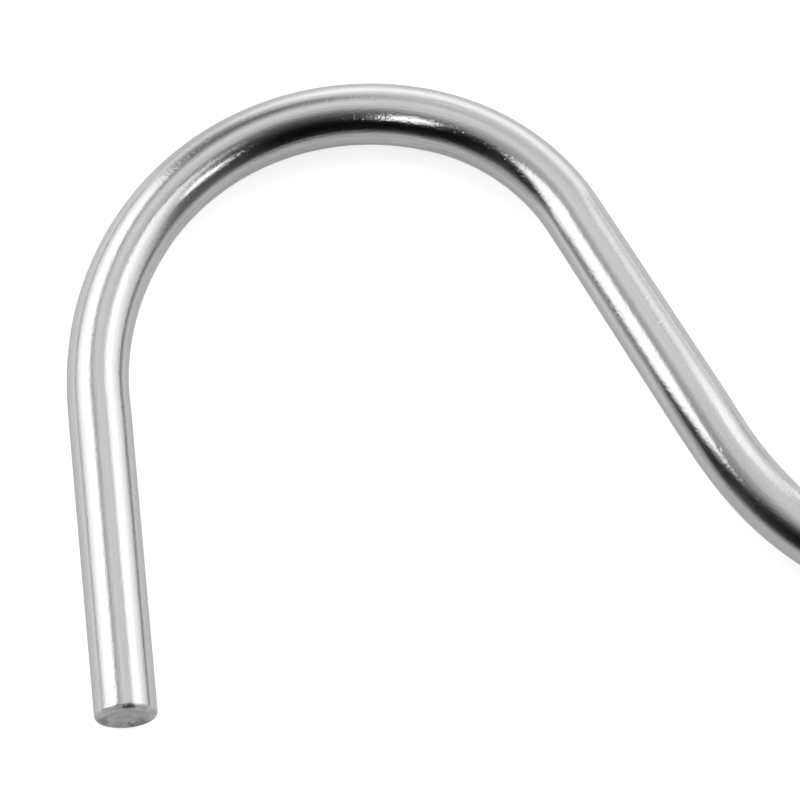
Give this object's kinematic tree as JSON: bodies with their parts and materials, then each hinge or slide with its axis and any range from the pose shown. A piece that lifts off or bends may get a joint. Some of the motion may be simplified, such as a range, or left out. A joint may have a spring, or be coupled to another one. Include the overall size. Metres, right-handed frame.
{
  "type": "s hook",
  "caption": "S-shaped hook bent from round stainless wire, with two open hooks facing opposite ways and blunt rounded ends.",
  "frame": {"origin": "on the floor under the middle of the outline, with the hook lying flat", "axes": "+Z square to the plane of the hook, +X from hook A to hook B across the two legs, +Y along both legs: leg A's cut end points along -Y and leg B's along +Y"},
  "size_m": [0.0742, 0.042, 0.004],
  "materials": {
    "polished_steel": "bright drawn stainless wire, polished, with fine lines along the wire"
  },
  "bodies": {
    "root": {"s_hook": "polished_steel"}
  },
  "joints": []
}
